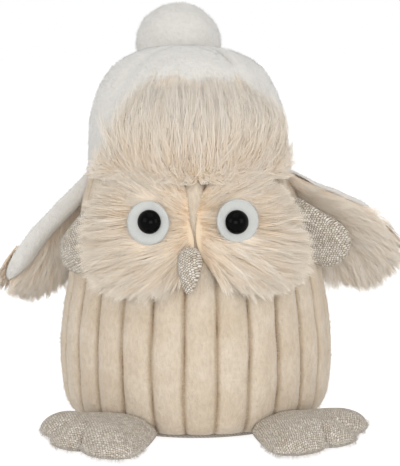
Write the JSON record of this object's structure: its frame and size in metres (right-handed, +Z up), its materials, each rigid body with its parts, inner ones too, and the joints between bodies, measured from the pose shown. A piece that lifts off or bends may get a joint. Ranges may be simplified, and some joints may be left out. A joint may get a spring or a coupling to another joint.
{
  "type": "plush owl figure",
  "caption": "Weighted plush owl that stands upright, with a ribbed body, fur face discs, bead eyes, padded feet and a fur-brimmed winter hat with ear flaps and a pompom.",
  "frame": {"origin": "middle of the underside of the base panel, where the owl stands", "axes": "+Z up through the hat, -Y the way the owl looks, +X towards the owl's own left"},
  "size_m": [0.2347, 0.2312, 0.2504],
  "materials": {
    "ribbed_plush": "short plush in wide ribs, cream beige",
    "long_fur": "long cream fur with darker roots",
    "fleece": "off-white fleece",
    "tweed": "coarse flecked basket weave, greige",
    "white_felt": "white felt",
    "base_twill": "grey twill over card",
    "fibre": "loose polyester fibre",
    "ballast_cloth": "plain cotton bag",
    "thread": "sewing thread",
    "black_bead": "glossy black",
    "washer_plastic": "natural white"
  },
  "bodies": {
    "torso": {"body_cover": "ribbed_plush", "body_filling": "fibre", "base_panel": "base_twill", "ballast_bag": "ballast_cloth", "left_face_fur": "long_fur", "left_eye_felt": "white_felt", "left_eye_bead": "black_bead", "left_eye_washer": "washer_plastic", "right_face_fur": "long_fur", "right_eye_felt": "white_felt", "right_eye_bead": "black_bead", "right_eye_washer": "washer_plastic", "hat_crown": "fleece", "hat_brim_fur": "long_fur"},
    "left_ear_flap": {"left_flap_fleece": "fleece", "left_flap_fur": "long_fur"},
    "right_ear_flap": {"right_flap_fleece": "fleece", "right_flap_fur": "long_fur"},
    "left_wing": {"left_wing_cover": "tweed", "left_wing_filling": "fibre"},
    "right_wing": {"right_wing_cover": "tweed", "right_wing_filling": "fibre"},
    "left_foot": {"left_foot_cover": "tweed", "left_foot_filling": "fibre"},
    "right_foot": {"right_foot_cover": "tweed", "right_foot_filling": "fibre"},
    "beak": {"beak_cover": "tweed", "beak_filling": "fibre"},
    "pompom_tie": {"pompom_knot": "thread"},
    "pompom": {"pompom_cover": "fleece", "pompom_filling": "fibre"}
  },
  "joints": [
    {"name": "left_ear_flap_seam", "type": "hinge", "parent": "torso", "child": "left_ear_flap", "pos_m": [0.0567, 0.013, 0.1515], "axis": [0, -1, 0], "range_deg": [0, 45]},
    {"name": "right_ear_flap_seam", "type": "hinge", "parent": "torso", "child": "right_ear_flap", "pos_m": [-0.06563, 0.013, 0.1515], "axis": [0, 1, 0], "range_deg": [0, 45]},
    {"name": "left_wing_seam", "type": "hinge", "parent": "torso", "child": "left_wing", "pos_m": [0.05696, -0.0197, 0.138], "axis": [0.3301, -0.0829, -0.9403], "range_deg": [-3, 45], "stiffness_Nm_per_rad": 0.05},
    {"name": "right_wing_seam", "type": "hinge", "parent": "torso", "child": "right_wing", "pos_m": [-0.05523, -0.03747, 0.138], "axis": [0.1476, 0.1637, 0.9754], "range_deg": [-3, 45], "stiffness_Nm_per_rad": 0.05},
    {"name": "left_foot_seam", "type": "hinge", "parent": "torso", "child": "left_foot", "pos_m": [0.0445, -0.04942, 0.003], "axis": [-0.7431, -0.6691, 0], "range_deg": [0, 16]},
    {"name": "right_foot_seam", "type": "hinge", "parent": "torso", "child": "right_foot", "pos_m": [-0.03814, -0.05447, 0.003], "axis": [-0.8191, 0.5736, 0], "range_deg": [0, 16]},
    {"name": "beak_seam", "type": "hinge", "parent": "torso", "child": "beak", "pos_m": [-0.00118, -0.0783, 0.1155], "axis": [-1, 0, 0], "range_deg": [0, 40]},
    {"name": "pompom_nod", "type": "hinge", "parent": "torso", "child": "pompom_tie", "pos_m": [-0.00894, 0.05074, 0.20648], "axis": [0.9966, 0.039, 0.0727], "range_deg": [-12, 12], "stiffness_Nm_per_rad": 0.1},
    {"name": "pompom_sway", "type": "hinge", "parent": "pompom_tie", "child": "pompom", "pos_m": [-0.00894, 0.05074, 0.20648], "axis": [0.039, 0.5545, -0.8313], "range_deg": [-12, 12], "stiffness_Nm_per_rad": 0.1}
  ]
}
